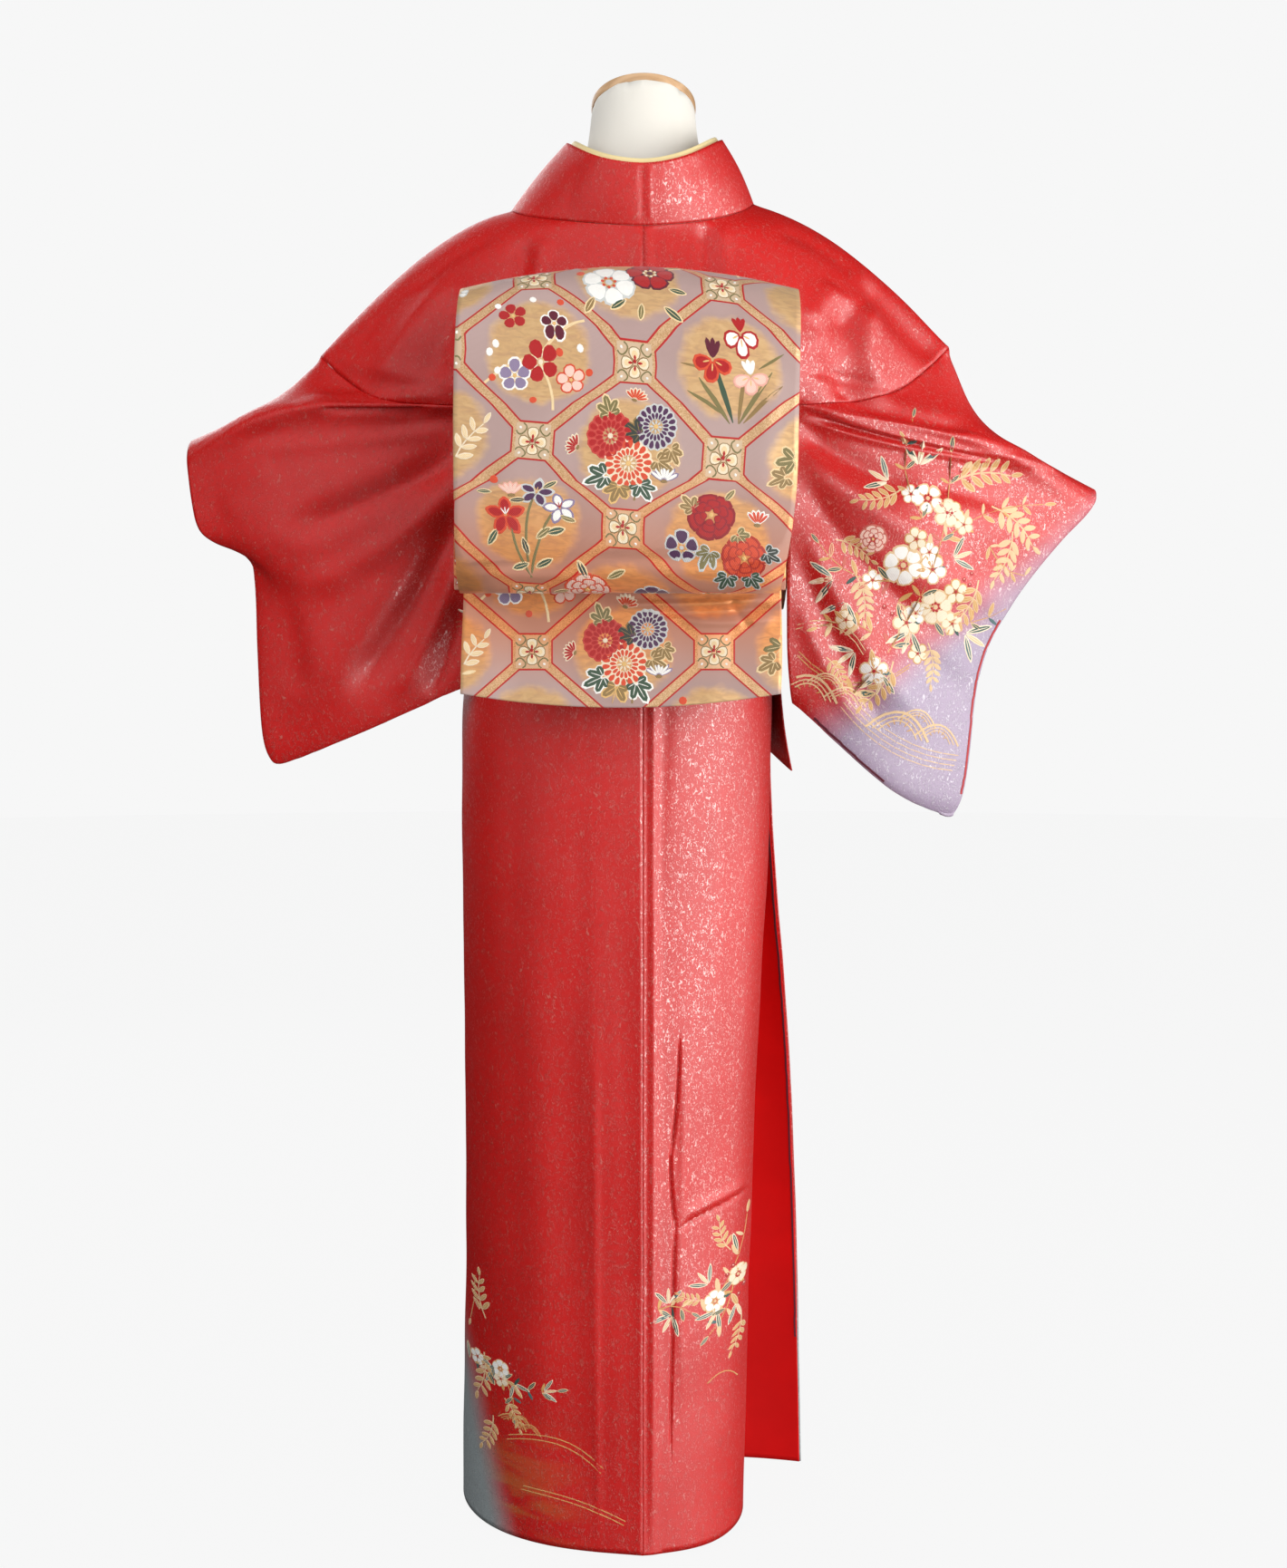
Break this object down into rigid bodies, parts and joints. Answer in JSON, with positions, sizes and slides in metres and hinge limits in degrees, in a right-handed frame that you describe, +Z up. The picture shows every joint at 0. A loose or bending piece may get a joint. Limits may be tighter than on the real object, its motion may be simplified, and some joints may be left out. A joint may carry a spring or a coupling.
{
  "type": "homongi kimono with its obi on a limbless dress form",
  "caption": "Worn homongi kimono with wrapped fronts, bag sleeves and a tuck at the waist, tied with a drum-knot obi, standing on a limbless dress form.",
  "frame": {"origin": "centre of the underside of the dress form's base", "axes": "+X to the wearer's right, +Y to the garment's front, +Z up"},
  "size_m": [0.9152, 0.4051, 1.4458],
  "materials": {
    "cloth_red": "silk crepe, soft sheen",
    "lining_red": "plain silk, soft sheen",
    "strip_gold": "satin",
    "obi_brocade": "satin brocade",
    "form_cover": "matt cotton",
    "form_wood": "satin",
    "form_metal": "satin"
  },
  "bodies": {
    "root": {"form_torso": "form_cover", "form_neck_cap": "form_wood", "form_pole": "form_metal", "form_base": "form_metal", "bodice_right": "cloth_red", "bodice_left": "cloth_red", "collar": "cloth_red", "kasane_eri": "strip_gold", "sleeve_right": "cloth_red", "sleeve_left": "cloth_red", "skirt_back_left": "cloth_red", "skirt_back_right": "cloth_red", "skirt_front_right": "cloth_red", "okumi_right": "cloth_red", "skirt_front_left": "cloth_red", "okumi_left": "cloth_red", "okumi_left_lining": "lining_red", "ohashori_back": "cloth_red", "ohashori_front": "cloth_red", "obi_band": "obi_brocade", "obi_taiko": "obi_brocade", "obi_tare": "obi_brocade", "obi_te": "obi_brocade"}
  },
  "joints": []
}
